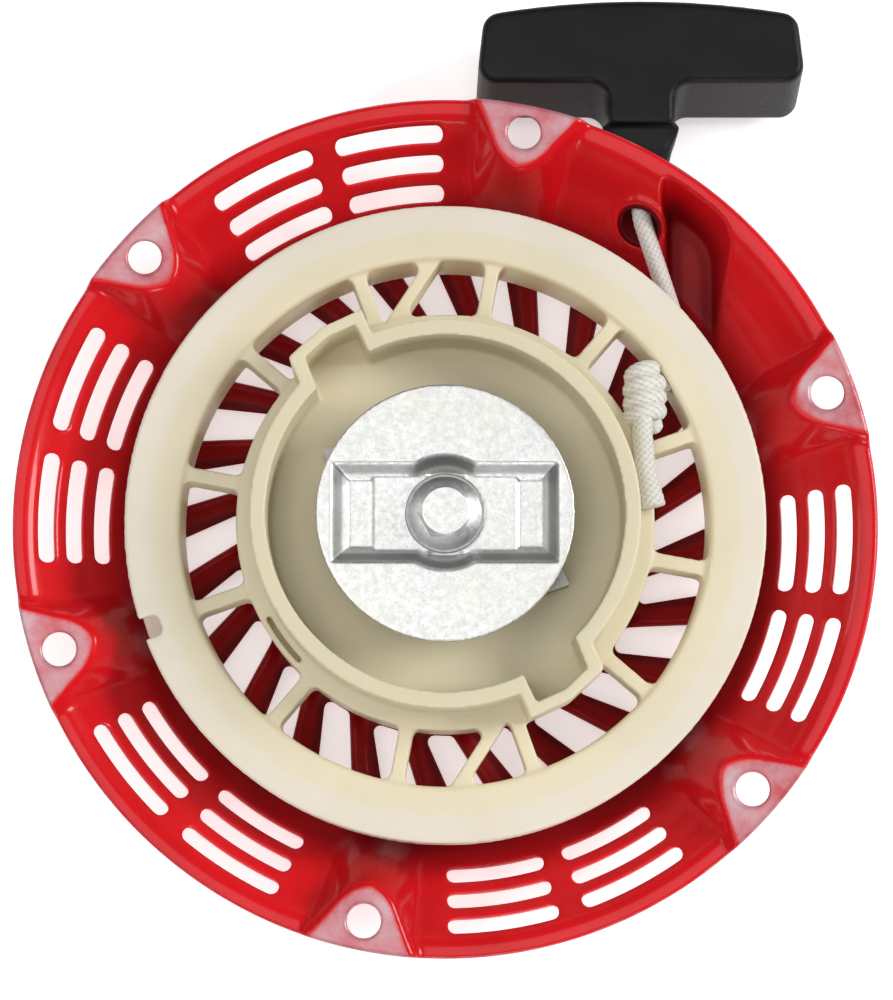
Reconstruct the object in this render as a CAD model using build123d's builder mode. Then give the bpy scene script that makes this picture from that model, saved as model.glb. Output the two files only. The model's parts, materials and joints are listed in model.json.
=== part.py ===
"""Recoil starter for a small petrol engine: stamped case, nylon reel, pawl clutch, rope and T grip.

Millimetres. The origin is the centre of the mounting plane, +Z points along the spin axis to the
engine, and the rope is pulled along +Y. Each sub-part is written to parts/ as its own STEP file.
"""
import os
from math import acos, atan2, cos, degrees, hypot, pi, radians, sin

from build123d import *

# Case: stamped sheet, an open dish with a plain lip and six raised mounting lands
sheet = 1.2
case_r = 90.0
lip_z = -2.2
lip_inner_r = 86.8
plate_z = -22.0
cone_foot_r = lip_inner_r + plate_z - lip_z
dish_z = -25.0
dish_r = 37.0
dish_run = 3.5
dimple_z = -22.4
dimple_r = 10.0
dimple_run = 2.5
headroom = 30.0
form_round = 1.6
cone_foot_round = 6.0
bolt_circle_r = 84.0
bolt_hole_r = 3.5
land_count = 6
land_start = 18.6
land_half_width = 11.6
land_tip_r = 77.0
land_draft = 22.0
land_tip_half = 2.4
land_tip_round = 2.2
land_flare = 1.2
plan_margin = 4.0

# Air slots: ten groups of three arcs, two groups between each pair of lands but one
slot_rows = (83.4, 78.2, 72.9)
slot_width = 3.1
slot_span = 16.0 - degrees(slot_width / 78.2)
slot_group_offset = 9.7
slot_first_centre = 108.0
slot_sector_centres = [slot_first_centre + 60.0 * k for k in range(5)]

# Louvres: slanted openings in the plate, with the bars between them
louvre_count = 24
louvre_gap = 8.0
louvre_inner_r = 43.5
louvre_outer_r = 63.5
louvre_mid_r = 50.6
louvre_mid_angle = 16.6
louvre_twist = 0.5
louvre_round = 1.4

# Rope outlet: a hole in the cone, and the pocket beside it
rope_r = 2.0
rope_z = -12.4
outlet_x = 41.6
outlet_y = 66.0
bend_x = 42.1
outlet_hole_x = 41.5
pocket_x = (47.2, 58.6)
pocket_outer_r = 85.3
pocket_floor_z = -18.0
pocket_middle_y = 60.0
pocket_span = 60.0
pocket_round = 3.0
outlet_hole_r = 4.8

# Centre post, washer and bolt
post_r = 8.0
neck_r = 5.9
neck_foot_z = 4.0
neck_top_z = 10.3
rivet_r = 4.4
post_foot_r = 12.0
post_base_r = 9.5
post_shoulder_z = -4.8
thread_r = 2.5
thread_depth = 14.0
washer_r = 8.2
washer_t = 1.2
bolt_flange_r = 7.4
bolt_flange_t = 1.2
hex_across = 10.0
hex_t = 3.8
running = 0.06
seat_gap = 0.05
rivet_head_t = 1.4
rivet_lap = 1.6
post_foot_t = 2.2
washer_hole_r = 3.2
washer_round = 0.3
thread_gap = 0.1
hex_chamfer = 3.2
hex_chamfer_lap = 0.3

# Reel
rim_r = 66.7
rim_inner_r = 55.0
rim_front_z = -0.2
groove_r = 57.5
groove_z = (-14.8, -1.6)
rim_back_z = -16.2
web_front_z = -1.2
web_back_z = -11.0
floor_z = -1.0
floor_t = 2.6
hub_r = 39.8
hub_wall = 3.3
hub_top_z = 14.0
barrel_r = 43.5
barrel_inner_r = 41.0
barrel_back_z = -17.0
boss_r = 11.5
boss_back_z = -4.6
boss_top_z = 3.7
spoke_count = 12
spoke_start = 19.5
spoke_width = 3.0
strut_width = 2.6
root_fillet = 1.5
narrow_window = 100.0
hub_pocket_r = 42.8
hub_pocket_angles = (115.5, 132.0)
hub_pocket_wall = 2.4
hub_pocket_crown = 0.5
hub_pocket_run = 4.5
hub_pocket_lap = 3.2
pawl_pivot_h = 4.0
strut_angles = (92.0, 106.0)
notch_angle = 200.0
notch_width = 4.4
notch_depth = 4.0
hook_slot_angles = (209.0, 224.0)
knot_hole_angle = 32.5
knot_hole_z = -4.9
knot_plane_r = 52.0
knot_place = (41.6, 26.2, -1.2)
knot_half_width = 4.7
knot_half_length = 7.4
knot_stub_start = 2.4
tail_bend_r = 8.0
tail_points = ((40.9, 18.4, 1.1), (41.3, 11.5, 2.2), (43.0, 2.6, 2.7))

# Rope turns on the reel: two on the reel, and the last one leaving through the outlet
turn_r = 60.0
turn_z = (-3.9, -8.1)
lead_arc = 250.0
lead_bend_r = 12.0
lead_end_y = 70.2
pull_start_y = 70.9

# Pawls and ratchet guide
pivot_r = 2.5
pivot_place = (-0.6, 17.5)
pawl_z = -0.6
pawl_t = 5.0
pawl_length = 24.4
pawl_heading = 193.8
pawl_eye = 2.2
pawl_half = 4.2
pawl_neck_half = 3.1
pawl_neck = 6.0
pawl_tip = (1.2, -2.4)
pawl_wire_r = 0.35
pawl_coil_gap = 0.5
pawl_coil_pitch = 0.75
pawl_coils = 3
pawl_leg = 10.0
guide_r = 26.4
guide_top_z = 13.2
guide_t = 1.2
recess_x = 23.2
recess_y = 10.3
recess_wall = 3.4
recess_floor_z = 9.4
recess_pad_z = 10.2
recess_pad_x = 14.6
bulge_r = 12.0
lug_r = 1.5
lug_place = (17.0, 150.0)
lug_foot_z = 0.0
coil_wire_r = 0.55
coil_count = 5

# Rewind spring: a flat strip wound in arcs of half a turn
strip_t = 0.5
strip_z = (-15.0, -5.0)
spring_inner_r = 13.0
spring_pitch = 2.1
spring_half_turns = 26

# T grip: the bar's lower face slopes, and the stem stands flush with the bar
grip_x = outlet_x
bar_half_x = 35.4
bar_back_y = 90.5
bar_front_y = 94.2
bar_top_y = 108.9
bar_crown = 3.0
bar_end_draft = 2.0
bar_half_z = 10.0
bar_corner = 4.0
grip_edge = 1.6
stem_half_x = 7.1
stem_end_y = 85.2
stem_corner = 3.8
neck_half = 6.8
neck_end_y = 80.6
neck_corner = 2.6
stem_nose_y = 74.6
stem_nose_half = 5.4
grip_bore_r = 2.6
knot_seat_y = 92.0
knot_bore_r = 6.0
seat_t = 1.5
cap_t = 2.4
handle_knot_size = (5.0, 5.6)


def polar(radius, angle):
    """A point in the XY plane, from its radius and its angle in degrees."""
    return (radius * cos(radians(angle)), radius * sin(radians(angle)))


def save(piece, name):
    """Label the piece and write it to parts/."""
    piece.part.label = name
    export_step(piece.part, f"parts/{name}.step")


os.makedirs("parts", exist_ok=True)

# ---------------------------------------------------------------- case
# The dish's engine side, from the axis out to the lip. The sheet is the band one thickness below.
with BuildSketch(Plane.XZ) as dish_space:
    with BuildLine():
        Polyline(
            (0, dimple_z),
            (dimple_r, dimple_z),
            (dimple_r + dimple_run, dish_z),
            (dish_r, dish_z),
            (dish_r + dish_run, plate_z),
            (cone_foot_r, plate_z),
            (lip_inner_r, lip_z),
            (case_r + plan_margin, lip_z),
            (case_r + plan_margin, headroom),
            (0, headroom),
            close=True,
        )
    make_face()
    corners = dish_space.vertices().filter_by(lambda v: dimple_r - 1 < v.X < case_r and v.Z < 0)
    fillet(corners.filter_by(lambda v: abs(v.X - cone_foot_r) > 1), radius=form_round)
    cone_foot = dish_space.vertices().sort_by(lambda v: hypot(v.X - cone_foot_r, v.Z - plate_z))[0]
    fillet(cone_foot, radius=cone_foot_round)

with BuildSketch(Plane.XZ) as dish_outside:
    add(dish_space.sketch)
    offset(amount=sheet)
    split(bisect_by=Plane.YZ, keep=Keep.TOP)

# Raised lands for the mounting bolts: V shapes in plan, with their points towards the axis
with BuildSketch() as land_outline:
    with PolarLocations(0, land_count, start_angle=land_start):
        Polygon(
            (case_r + plan_margin, land_half_width + land_flare),
            (land_tip_r, land_tip_half),
            (land_tip_r, -land_tip_half),
            (case_r + plan_margin, -land_half_width - land_flare),
            align=None,
        )
    fillet(land_outline.vertices().filter_by(lambda v: hypot(v.X, v.Y) < case_r), radius=land_tip_round)

with BuildPart() as land_forms:
    add(land_outline.sketch)
    extrude(amount=-headroom, taper=-land_draft)

with BuildPart() as land_hollows:
    with BuildSketch(Plane.XY.offset(-sheet)):
        add(land_outline.sketch)
        offset(amount=-sheet, kind=Kind.INTERSECTION)
    extrude(amount=-headroom, taper=-land_draft)

# The rope's pocket: a deeper pressing just inside the lip
with BuildSketch() as pocket_outline:
    Circle(pocket_outer_r)
    with Locations(((pocket_x[0] + pocket_x[1]) / 2, pocket_middle_y)):
        Rectangle(pocket_x[1] - pocket_x[0], pocket_span, mode=Mode.INTERSECT)
    fillet(pocket_outline.vertices().filter_by(lambda v: v.Y > 50), radius=pocket_round)

with BuildPart() as inside:
    add(dish_space.sketch)
    revolve(axis=Axis.Z)
    with BuildSketch(Plane.XY.offset(pocket_floor_z)):
        add(pocket_outline.sketch)
    extrude(amount=headroom)
    add(land_forms.part, mode=Mode.SUBTRACT)

# One row of air slots is an arc slot in each group
with BuildSketch() as air_slots:
    for row_r in slot_rows:
        for centre in slot_sector_centres:
            for side in (-slot_group_offset, slot_group_offset):
                start = centre + side - slot_span / 2
                SlotArc(CenterArc((0, 0), row_r, start, slot_span), height=slot_width)

# One louvre opening, slanted so that its angle grows with its radius
inner_angle = louvre_mid_angle + louvre_twist * (louvre_inner_r - louvre_mid_r)
outer_angle = louvre_mid_angle + louvre_twist * (louvre_outer_r - louvre_mid_r)
half_gap = louvre_gap / 2
with BuildSketch() as louvres:
    with PolarLocations(0, louvre_count):
        Polygon(
            polar(louvre_inner_r, inner_angle - half_gap),
            polar(louvre_outer_r, outer_angle - half_gap),
            polar(louvre_outer_r, outer_angle + half_gap),
            polar(louvre_inner_r, inner_angle + half_gap),
            align=None,
        )
    fillet(louvres.vertices(), radius=louvre_round)

# The rope hole stands square to the cone, with the rope through the middle of the sheet
outlet_z = rope_z + sheet / 2 * cos(pi / 4)
outlet_r = lip_inner_r + outlet_z - lip_z
outlet_hole_y = (outlet_r ** 2 - (outlet_hole_x) ** 2) ** 0.5
outlet_angle = atan2(outlet_hole_y, outlet_hole_x)
outlet_plane = Plane(
    origin=(outlet_hole_x, outlet_hole_y, outlet_z),
    z_dir=(-cos(outlet_angle), -sin(outlet_angle), 1),
)

with BuildPart() as housing:
    add(dish_outside.sketch)
    revolve(axis=Axis.Z)
    with BuildSketch(Plane.XY.offset(lip_z)):
        add(pocket_outline.sketch)
        offset(amount=sheet)
    extrude(amount=pocket_floor_z - sheet - lip_z)
    add(land_hollows.part, mode=Mode.SUBTRACT)
    add(inside.part, mode=Mode.SUBTRACT)
    with BuildSketch(Plane.XY.offset(-headroom)):
        Circle(case_r)
    extrude(amount=headroom, mode=Mode.INTERSECT)
    with BuildSketch(Plane.XY.offset(-headroom)):
        add(air_slots.sketch)
        add(louvres.sketch)
        Circle(rivet_r + running)
        with PolarLocations(bolt_circle_r, land_count, start_angle=land_start):
            Circle(bolt_hole_r)
    extrude(amount=headroom, mode=Mode.SUBTRACT)
    with BuildSketch(outlet_plane):
        Circle(outlet_hole_r)
    extrude(amount=5, both=True, mode=Mode.SUBTRACT)
save(housing, "housing")

# ---------------------------------------------------------------- post, washer and bolt
with BuildPart() as centre_post:
    with BuildSketch(Plane.XZ):
        with BuildLine():
            Polyline(
                (0, dimple_z - sheet - rivet_head_t),
                (rivet_r, dimple_z - sheet - rivet_head_t),
                (rivet_r + rivet_lap, dimple_z - sheet - seat_gap),
                (rivet_r, dimple_z - sheet - seat_gap),
                (rivet_r, dimple_z + seat_gap),
                (post_foot_r, dimple_z + seat_gap),
                (post_foot_r, dimple_z + post_foot_t),
                (post_base_r, dimple_z + post_foot_t),
                (post_base_r, post_shoulder_z),
                (post_r, post_shoulder_z),
                (post_r, neck_foot_z),
                (neck_r, neck_foot_z),
                (neck_r, neck_top_z),
                (0, neck_top_z),
                close=True,
            )
        make_face()
    revolve(axis=Axis.Z)
    with Locations((0, 0, neck_top_z)):
        Hole(thread_r, depth=thread_depth)
    with BuildSketch(Plane.XY.offset(strip_z[0])):
        with Locations((post_base_r - 0.5, 0)):
            Rectangle(3, strip_t + 0.4)
    extrude(amount=strip_z[1] - strip_z[0], mode=Mode.SUBTRACT)
save(centre_post, "centre_post")

with BuildPart() as bolt_washer:
    with BuildSketch(Plane.XY.offset(neck_top_z)):
        Circle(washer_r)
        Circle(washer_hole_r, mode=Mode.SUBTRACT)
    extrude(amount=washer_t)
    top_rims = bolt_washer.edges().filter_by(GeomType.CIRCLE).group_by(Axis.Z)[-1]
    fillet(top_rims.sort_by(SortBy.RADIUS)[-1], radius=washer_round)
save(bolt_washer, "bolt_washer")

bolt_seat_z = neck_top_z + washer_t
bolt_collar_z = bolt_seat_z + bolt_flange_t + 0.4
hex_foot_z = bolt_seat_z + bolt_flange_t / 2
hex_top_z = hex_foot_z + hex_t
with BuildPart() as centre_bolt:
    with BuildSketch(Plane.XZ):
        with BuildLine():
            Polyline(
                (0, bolt_seat_z - thread_depth),
                (thread_r - thread_gap, bolt_seat_z - thread_depth),
                (thread_r - thread_gap, bolt_seat_z),
                (bolt_flange_r, bolt_seat_z),
                (bolt_flange_r, hex_foot_z),
                (hex_across / 2, bolt_collar_z),
                (0, bolt_collar_z),
                close=True,
            )
        make_face()
    revolve(axis=Axis.Z)
    with BuildSketch(Plane.XY.offset(hex_foot_z)):
        RegularPolygon(hex_across / 2, 6, major_radius=False)
    extrude(amount=hex_t)
    with BuildSketch(Plane.XZ):
        with BuildLine():
            Polyline(
                (hex_across / 2 - hex_chamfer_lap, hex_top_z),
                (hex_across, hex_top_z),
                (hex_across, hex_top_z - hex_chamfer),
                close=True,
            )
        make_face()
    revolve(axis=Axis.Z, mode=Mode.SUBTRACT)
save(centre_bolt, "centre_bolt")

# ---------------------------------------------------------------- reel
# The rope passes through the rim on this plane, which faces outwards in the window of its knot
knot_plane = Plane(
    origin=(*polar(knot_plane_r, knot_hole_angle), knot_hole_z),
    z_dir=(*polar(1, knot_hole_angle), 0),
)

# Windows between the spokes and the two slanted struts, with round corners
with BuildSketch() as windows:
    Circle(rim_inner_r)
    Circle(barrel_r, mode=Mode.SUBTRACT)
    with PolarLocations((barrel_r + rim_inner_r) / 2, spoke_count, start_angle=spoke_start):
        Rectangle(rim_inner_r - barrel_r + 2, spoke_width, mode=Mode.SUBTRACT)
    for turn in (0, 180):
        rim_point = Vector(*polar(rim_inner_r + 1, strut_angles[0] + turn))
        hub_point = Vector(*polar(barrel_r - 1, strut_angles[1] + turn))
        middle = (rim_point + hub_point) * 0.5
        run = rim_point - hub_point
        with Locations(Location((middle.X, middle.Y, 0), (0, 0, degrees(atan2(run.Y, run.X))))):
            Rectangle(run.length, strut_width, mode=Mode.SUBTRACT)
    # The tip between a strut and its spoke is too sharp for a fillet
    wide = windows.faces().filter_by(lambda f: f.area > narrow_window)
    narrow = windows.faces().filter_by(lambda f: f.area < narrow_window)
    at_rim = narrow.vertices().filter_by(lambda v: hypot(v.X, v.Y) > rim_inner_r - 1)
    fillet(wide.vertices() + at_rim, radius=root_fillet)

with BuildPart() as reel:
    with BuildSketch(Plane.XZ) as rim_section:
        with BuildLine():
            Polyline(
                (rim_inner_r, rim_front_z),
                (rim_r, rim_front_z),
                (rim_r, groove_z[1] + 0.4),
                (groove_r, groove_z[1]),
                (groove_r, groove_z[0]),
                (rim_r, groove_z[0] - 0.4),
                (rim_r, rim_back_z),
                (rim_inner_r, rim_back_z),
                close=True,
            )
        make_face()
        fillet(rim_section.vertices().sort_by(Axis.X)[-4:].sort_by(Axis.Z)[-1], 0.5)
        fillet(rim_section.vertices().group_by(Axis.X)[0].sort_by(Axis.Z)[-1], 1.2)
    revolve(axis=Axis.Z)
    with BuildSketch(Plane.XZ):
        with BuildLine():
            Polyline(
                (post_r + running, boss_back_z),
                (boss_r, boss_back_z),
                (boss_r, floor_z - floor_t),
                (barrel_inner_r, floor_z - floor_t),
                (barrel_inner_r, barrel_back_z),
                (barrel_r, barrel_back_z),
                (barrel_r, web_front_z + 0.4),
                (hub_r, web_front_z + 0.8),
                (hub_r, hub_top_z),
                (hub_r - hub_wall, hub_top_z),
                (hub_r - hub_wall - 0.2, floor_z),
                (boss_r, floor_z),
                (boss_r - 0.5, boss_top_z),
                (post_r + running, boss_top_z),
                close=True,
            )
        make_face()
    revolve(axis=Axis.Z)
    with BuildSketch(Plane.XY.offset(web_back_z)):
        Circle(rim_inner_r + 1)
        Circle(barrel_r - 1, mode=Mode.SUBTRACT)
        add(windows.sketch, mode=Mode.SUBTRACT)
    extrude(amount=web_front_z - web_back_z)
    # Two outward jogs of the hub wall
    jog_r = hub_pocket_r + hub_pocket_wall
    with BuildSketch(Plane.XY.offset(floor_z - floor_t)) as jog_outside:
        for turn in (0, 180):
            start, end = hub_pocket_angles
            with BuildLine():
                Polyline(
                    polar(hub_r - hub_wall - 2, start + turn - hub_pocket_lap),
                    polar(jog_r, start + turn - hub_pocket_lap),
                    polar(jog_r + hub_pocket_crown, (start + end) / 2 + turn),
                    polar(jog_r, end + turn + hub_pocket_lap),
                    polar(hub_r - 2, end + turn + hub_pocket_run + hub_pocket_lap),
                    polar(hub_r - hub_wall - 2, end + turn),
                    close=True,
                )
            make_face()
    extrude(amount=hub_top_z - floor_z + floor_t)
    with BuildSketch(Plane.XY.offset(floor_z)) as cup_space:
        Circle(hub_r - hub_wall)
        for turn in (0, 180):
            start, end = hub_pocket_angles
            with BuildLine():
                Polyline(
                    polar(boss_r, start + turn),
                    polar(hub_pocket_r, start + turn),
                    polar(hub_pocket_r + hub_pocket_crown, (start + end) / 2 + turn),
                    polar(hub_pocket_r, end + turn),
                    polar(hub_r - hub_wall - 1, end + turn + hub_pocket_run),
                    polar(boss_r, end + turn),
                    close=True,
                )
            make_face()
        Circle(boss_r + 4, mode=Mode.SUBTRACT)
    extrude(amount=headroom, mode=Mode.SUBTRACT)
    # Pivots for the two pawls
    with BuildSketch(Plane.XY.offset(floor_z - 0.5)):
        with Locations(pivot_place, (-pivot_place[0], -pivot_place[1])):
            Circle(pivot_r)
    extrude(amount=pawl_t + pawl_pivot_h)
    # Rim notch, spring hook slot and the hole where the rope passes to its knot
    with BuildSketch(Plane.XY.offset(groove_z[1] - 1)) as notch:
        with PolarLocations(rim_r - notch_depth / 2 + 1, 1, start_angle=notch_angle):
            Rectangle(notch_depth + 2, notch_width)
        fillet(notch.vertices().sort_by(lambda v: hypot(v.X, v.Y))[:2], 1.4)
    extrude(amount=headroom, mode=Mode.SUBTRACT)
    with BuildSketch(Plane.XY.offset(floor_z - floor_t - 1)):
        hook_start, hook_end = hook_slot_angles
        SlotArc(CenterArc((0, 0), hub_r + 2.0, hook_start, hook_end - hook_start), height=1.0)
    extrude(amount=headroom, mode=Mode.SUBTRACT)
    with BuildSketch(knot_plane):
        Circle(rope_r + 0.3)
    extrude(amount=groove_r - knot_plane_r + 0.5, mode=Mode.SUBTRACT)
save(reel, "reel")

# Flat strip spring: half rings about two centres in turn make a smooth spiral
with BuildPart() as rewind_spring:
    with BuildSketch(Plane.XY.offset(strip_z[0])):
        for turn in range(spring_half_turns):
            upper = turn % 2 == 0
            strip_r = spring_inner_r + turn * spring_pitch / 2
            centre = (0 if upper else -spring_pitch / 2, 0)
            with Locations(centre):
                with BuildSketch(Plane.XY, mode=Mode.PRIVATE) as half_ring:
                    Circle(strip_r + strip_t / 2)
                    Circle(strip_r - strip_t / 2, mode=Mode.SUBTRACT)
                    split(bisect_by=Plane.XZ, keep=Keep.BOTTOM if upper else Keep.TOP)
                add(half_ring.sketch)
        with Locations(((spring_inner_r + post_base_r - 1) / 2, 0)):
            Rectangle(spring_inner_r - post_base_r + 1 + strip_t, strip_t)
    extrude(amount=strip_z[1] - strip_z[0])
save(rewind_spring, "rewind_spring")

# ---------------------------------------------------------------- pawls, their springs and the guide
for name, turn in (("a", 0), ("b", 180)):
    pivot = Vector(*pivot_place).rotate(Axis.Z, turn)
    pawl_plane = Plane.XY.offset(pawl_z).rotated((0, 0, pawl_heading + turn))
    pawl_plane.origin = Vector(pivot.X, pivot.Y, pawl_z)
    with BuildPart() as pawl:
        with BuildSketch(pawl_plane):
            Circle(pivot_r + pawl_eye)
            with BuildLine():
                Polyline(
                    (0, pawl_half),
                    (pawl_length - pawl_neck, pawl_neck_half),
                    (pawl_length, pawl_tip[0]),
                    (pawl_length + 0.6, pawl_tip[1]),
                    (pawl_length - pawl_neck, -pawl_neck_half),
                    (0, -pawl_half),
                    close=True,
                )
            make_face()
            Circle(pivot_r + running, mode=Mode.SUBTRACT)
        extrude(amount=pawl_t)
    save(pawl, f"pawl_{name}")

    with BuildPart() as pawl_spring:
        for level in range(pawl_coils):
            coil_z = pawl_z + pawl_t + pawl_coil_gap + pawl_coil_pitch * level
            with BuildSketch(Plane.XZ.offset(-pivot.Y)):
                with Locations((pivot.X + pivot_r + 2 * pawl_wire_r, coil_z)):
                    Circle(pawl_wire_r)
            revolve(axis=Axis((pivot.X, pivot.Y, 0), (0, 0, 1)))
        with BuildSketch(pawl_plane.offset(coil_z - pawl_z)):
            with Locations((pawl_leg / 2, -pivot_r - 2 * pawl_wire_r)):
                Rectangle(pawl_leg, pawl_wire_r)
        extrude(amount=pawl_wire_r, both=True)
    save(pawl_spring, f"pawl_spring_{name}")

guide_bottom_z = guide_top_z - guide_t
recess_depth = guide_top_z - recess_floor_z
recess_draft = degrees(atan2(recess_wall, recess_depth))

with BuildPart() as ratchet_guide:
    with BuildSketch(Plane.XY.offset(guide_bottom_z)):
        Circle(guide_r)
    extrude(amount=guide_t)
    # Lugs that push the pawls; the pressed recess below is cut out of them too
    with BuildSketch(Plane.XY.offset(lug_foot_z)):
        for turn in (0, 180):
            with Locations(polar(lug_place[0], lug_place[1] + turn)):
                Circle(lug_r)
    extrude(amount=guide_bottom_z - lug_foot_z + guide_t / 4)
    for top_z, mode in ((guide_bottom_z, Mode.ADD), (guide_top_z, Mode.SUBTRACT)):
        with BuildSketch(Plane.XY.offset(top_z)):
            Rectangle(2 * recess_x, 2 * recess_y)
        extrude(amount=-recess_depth, taper=recess_draft, mode=mode)
        with Locations((0, 0, top_z - recess_depth / 2)):
            Cone(bulge_r - recess_wall, bulge_r, recess_depth, mode=mode)
    with BuildSketch(Plane.XY.offset(recess_floor_z - 0.2)):
        Rectangle(2 * recess_pad_x, 2 * (recess_y - recess_wall) + 1.6)
    extrude(amount=recess_pad_z - recess_floor_z + 0.2)
    Hole(neck_r + running)
save(ratchet_guide, "ratchet_guide")

# Friction spring: closed coils round the neck, between the reel's boss and the guide
with BuildPart() as friction_spring:
    coil_r = neck_r + 2 * coil_wire_r + 0.1
    first_coil_z = neck_foot_z + 0.7
    last_coil_z = recess_floor_z - guide_t - 0.7
    for level in range(coil_count):
        coil_z = first_coil_z + level * (last_coil_z - first_coil_z) / (coil_count - 1)
        with BuildSketch(Plane.XZ):
            with Locations((coil_r, coil_z)):
                Circle(coil_wire_r)
        revolve(axis=Axis.Z)
save(friction_spring, "friction_spring")

# ---------------------------------------------------------------- rope
with BuildPart() as rope_windings:
    for level in turn_z:
        with BuildSketch(Plane.XZ):
            with Locations((turn_r, level)):
                Circle(rope_r)
        revolve(axis=Axis.Z)
save(rope_windings, "rope_windings")

# The last turn, its tangent run to the outlet, and the bend towards the grip
bend_point = Vector(bend_x, outlet_y)
leave_angle = degrees(atan2(bend_point.Y, bend_point.X) - acos(turn_r / bend_point.length))
with BuildPart() as rope_lead:
    with BuildLine(Plane.XY.offset(rope_z)) as lead_path:
        last_turn = CenterArc((0, 0), turn_r, leave_angle - lead_arc, lead_arc)
        FilletPolyline(
            last_turn @ 1,
            (bend_point.X, bend_point.Y),
            (outlet_x, lead_end_y),
            radius=lead_bend_r,
        )
    with BuildSketch(Plane(origin=lead_path.line @ 0, z_dir=lead_path.line % 0)):
        Circle(rope_r)
    sweep()
lead_length = lead_path.wires()[0].length
print(f"rope lead: radii {turn_r} and {lead_bend_r}, length {lead_length:.1f}")
lead_section = pi * rope_r ** 2
print(f"rope lead: volume {rope_lead.part.volume:.0f}, by its length {lead_section * lead_length:.0f}")
save(rope_lead, "rope_lead")

with BuildPart() as rope_pull:
    with BuildSketch(Plane(origin=(outlet_x, pull_start_y, rope_z), z_dir=(0, 1, 0))):
        Circle(rope_r)
    extrude(amount=knot_seat_y + seat_t + 0.1 - pull_start_y)
save(rope_pull, "rope_pull")

# Stopper knot in a window of the reel, the stub of rope through the rim, and the rope's tail
with BuildPart() as rope_knot:
    with BuildSketch(Plane(origin=knot_place, x_dir=(0, 0, 1), z_dir=(1, 0, 0))):
        Ellipse(knot_half_width, knot_half_length)
        Rectangle(20, 40, align=(Align.MAX, Align.CENTER), mode=Mode.SUBTRACT)
    revolve(axis=Axis(knot_place, (0, 1, 0)))
    with BuildSketch(knot_plane.offset(knot_stub_start)):
        Circle(rope_r - 0.15)
    extrude(amount=turn_r - rope_r - 0.4 - knot_plane_r - knot_stub_start)
save(rope_knot, "rope_knot")

with BuildPart() as rope_tail:
    with BuildLine() as tail_path:
        FilletPolyline(*tail_points, radius=tail_bend_r)
    with BuildSketch(Plane(origin=tail_path.line @ 0, z_dir=tail_path.line % 0)):
        Circle(rope_r)
    sweep()
print(f"rope tail: radius {tail_bend_r}, length {tail_path.wires()[0].length:.1f}")
save(rope_tail, "rope_tail")

# ---------------------------------------------------------------- T grip
with BuildPart() as handle_grip:
    with BuildSketch(Plane.YZ.offset(grip_x - bar_half_x)):
        Polygon(
            (bar_back_y, rope_z - bar_half_z),
            (bar_top_y + bar_crown, rope_z - bar_half_z),
            (bar_top_y + bar_crown, rope_z + bar_half_z),
            (bar_front_y, rope_z + bar_half_z),
            align=None,
        )
    extrude(amount=2 * bar_half_x)
    with BuildSketch(Plane.XY.offset(rope_z - bar_half_z)):
        with BuildLine():
            left, right = grip_x - bar_half_x, grip_x + bar_half_x
            Line((left, bar_back_y), (right, bar_back_y))
            Line((right, bar_back_y), (right - bar_end_draft, bar_top_y))
            ThreePointArc(
                (right - bar_end_draft, bar_top_y),
                (grip_x, bar_top_y + bar_crown),
                (left + bar_end_draft, bar_top_y),
            )
            Line((left + bar_end_draft, bar_top_y), (left, bar_back_y))
        make_face()
    extrude(amount=2 * bar_half_z, mode=Mode.INTERSECT)
    fillet(handle_grip.edges().filter_by(lambda e: abs(e.tangent_at(0.5).Z) > 0.9), radius=bar_corner)
    with BuildSketch(Plane.XY.offset(rope_z - bar_half_z)):
        with Locations((grip_x, stem_end_y)):
            Rectangle(2 * stem_half_x, bar_top_y - stem_end_y, align=(Align.CENTER, Align.MIN))
    extrude(amount=2 * bar_half_z)
    upright = handle_grip.edges().filter_by(lambda e: abs(e.tangent_at(0.5).Z) > 0.9)
    by_stem = upright.filter_by(lambda e: abs(abs(e.center().X - grip_x) - stem_half_x) < 0.1)
    inner = by_stem.filter_by(lambda e: e.center().Y > stem_end_y + 1)
    fillet(inner, radius=stem_corner)
    rims = handle_grip.edges().filter_by(lambda e: abs(abs(e.center().Z - rope_z) - bar_half_z) < 0.01)
    rims = rims.filter_by(lambda e: e.center().Y > stem_end_y + 0.1)
    fillet(rims, radius=grip_edge)
    with BuildSketch(Plane(origin=(grip_x, stem_end_y, rope_z), z_dir=(0, -1, 0))):
        Rectangle(2 * stem_half_x, 2 * (bar_half_z - grip_edge))
    with BuildSketch(Plane(origin=(grip_x, neck_end_y, rope_z), z_dir=(0, -1, 0))):
        RectangleRounded(2 * neck_half, 2 * neck_half, neck_corner)
    loft()
    with BuildSketch(Plane(origin=(grip_x, neck_end_y, rope_z), z_dir=(0, -1, 0))):
        RectangleRounded(2 * neck_half, 2 * neck_half, neck_corner)
    with BuildSketch(Plane(origin=(grip_x, stem_nose_y, rope_z), z_dir=(0, -1, 0))):
        RectangleRounded(2 * stem_nose_half, 2 * stem_nose_half, neck_corner)
    loft()
    with BuildSketch(Plane(origin=(grip_x, stem_nose_y - 1, rope_z), z_dir=(0, 1, 0))):
        Circle(grip_bore_r)
    extrude(amount=40, mode=Mode.SUBTRACT)
    with BuildSketch(Plane(origin=(grip_x, knot_seat_y, rope_z), z_dir=(0, 1, 0))):
        Circle(knot_bore_r)
    extrude(amount=30, mode=Mode.SUBTRACT)
save(handle_grip, "handle_grip")

with BuildPart() as handle_washer:
    with BuildSketch(Plane(origin=(grip_x, knot_seat_y + 0.02, rope_z), z_dir=(0, 1, 0))):
        Circle(knot_bore_r - 0.1)
        Circle(rope_r + 0.2, mode=Mode.SUBTRACT)
    extrude(amount=seat_t)
save(handle_washer, "handle_washer")

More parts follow.
